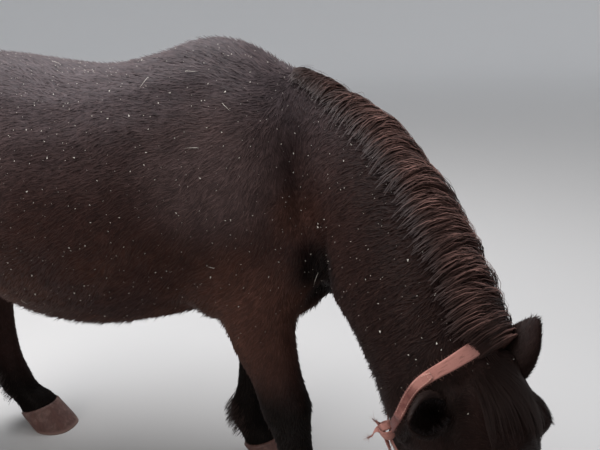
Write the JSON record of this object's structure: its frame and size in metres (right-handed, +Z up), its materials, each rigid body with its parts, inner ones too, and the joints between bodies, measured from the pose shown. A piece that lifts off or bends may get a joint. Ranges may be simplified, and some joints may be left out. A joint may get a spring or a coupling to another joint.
{
  "type": "shetland pony",
  "caption": "Life-size grazing Shetland pony, dark bay, neck lowered and bent to its right, with mane, tail and a worn webbing headcollar.",
  "frame": {"origin": "centre of the bounding box on the floor, with the soles of all four hooves at z = 0", "axes": "+X towards the pony's head end, +Y to the pony's left, +Z up"},
  "size_m": [1.516, 0.6544, 0.9945],
  "materials": {
    "coat": "dark bay to seal-brown short coat over the flesh",
    "leg_coat": "black leg coat with fetlock hair",
    "long_hair": "black-brown long hair",
    "horn": "dusty hoof horn",
    "eye": "wet dark eye",
    "webbing": "faded salmon webbing"
  },
  "bodies": {
    "root": {"head": "coat", "neck": "coat", "torso": "coat", "foreleg_right": "leg_coat", "foreleg_left": "leg_coat", "hindleg_right": "leg_coat", "hindleg_left": "leg_coat", "hoof_fore_right": "horn", "hoof_fore_left": "horn", "hoof_hind_right": "horn", "hoof_hind_left": "horn", "tail": "long_hair", "ear_right": "coat", "ear_left": "coat", "eye_right": "eye", "eye_left": "eye", "halter_crown": "webbing", "halter_throat": "webbing", "halter_cheek_right": "webbing", "halter_cheek_left": "webbing", "halter_noseband": "webbing"}
  },
  "joints": []
}
